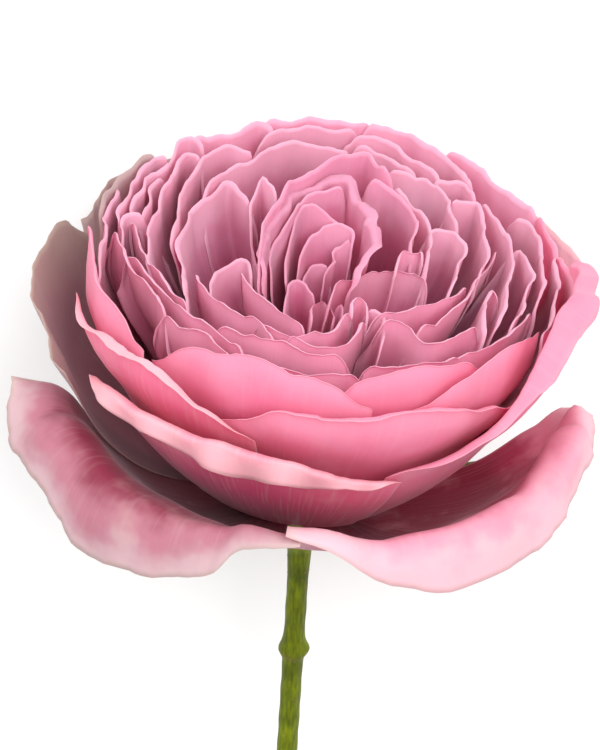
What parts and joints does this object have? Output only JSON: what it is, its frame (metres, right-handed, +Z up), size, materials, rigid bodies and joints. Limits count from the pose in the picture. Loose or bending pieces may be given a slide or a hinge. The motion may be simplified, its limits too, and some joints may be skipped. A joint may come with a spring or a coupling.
{
  "type": "cut rose",
  "caption": "Full quartered garden rose cut on a short bare stem, lying on its side on a table, with loose outer guard petals.",
  "frame": {"origin": "centre of the footprint, on the surface that the flower lies on", "axes": "+Z up, the stem points to +Y, the open face of the flower looks towards -Y and a little up"},
  "size_m": [0.1128, 0.2162, 0.1024],
  "materials": {
    "inner_petal": "soft satin petal, mauve pink",
    "outer_petal": "soft satin petal, warm pink with pale lips",
    "guard_petal": "soft petal, pink fading to cream and grey mauve",
    "sepal": "matte green leaf skin",
    "stem": "smooth olive green bark, slightly waxy"
  },
  "bodies": {
    "root": {"petal_back_1": "inner_petal", "petal_back_2": "inner_petal", "petal_back_3": "inner_petal", "petal_back_4": "inner_petal", "petal_crest_left": "outer_petal", "petal_crest_middle": "outer_petal", "petal_crest_right": "outer_petal", "petal_cup_front": "outer_petal", "petal_cup_left": "outer_petal", "petal_cup_right": "outer_petal", "petal_front_1": "inner_petal", "petal_front_2": "inner_petal", "petal_front_3": "inner_petal", "petal_front_4": "inner_petal", "petal_front_5": "inner_petal", "petal_front_6": "inner_petal", "petal_front_7": "inner_petal", "petal_front_8": "inner_petal", "petal_guard_back_left": "guard_petal", "petal_guard_left": "guard_petal", "petal_guard_right": "guard_petal", "petal_guard_under_left": "guard_petal", "petal_guard_under_right": "guard_petal", "petal_heart_1": "inner_petal", "petal_heart_2": "inner_petal", "petal_heart_3": "inner_petal", "petal_heart_4": "inner_petal", "petal_heart_5": "inner_petal", "petal_left_1": "inner_petal", "petal_left_10": "inner_petal", "petal_left_11": "inner_petal", "petal_left_12": "inner_petal", "petal_left_2": "inner_petal", "petal_left_3": "inner_petal", "petal_left_4": "inner_petal", "petal_left_5": "inner_petal", "petal_left_6": "inner_petal", "petal_left_7": "inner_petal", "petal_left_8": "inner_petal", "petal_left_9": "inner_petal", "petal_lip_front": "outer_petal", "petal_lip_left": "outer_petal", "petal_right_1": "inner_petal", "petal_right_2": "inner_petal", "petal_right_3": "inner_petal", "petal_right_4": "inner_petal", "petal_right_5": "inner_petal", "petal_right_6": "inner_petal", "petal_right_7": "inner_petal", "petal_right_8": "inner_petal", "petal_right_9": "inner_petal", "sepal_1": "sepal", "sepal_2": "sepal", "sepal_3": "sepal", "sepal_4": "sepal", "sepal_5": "sepal", "stem": "stem"}
  },
  "joints": []
}
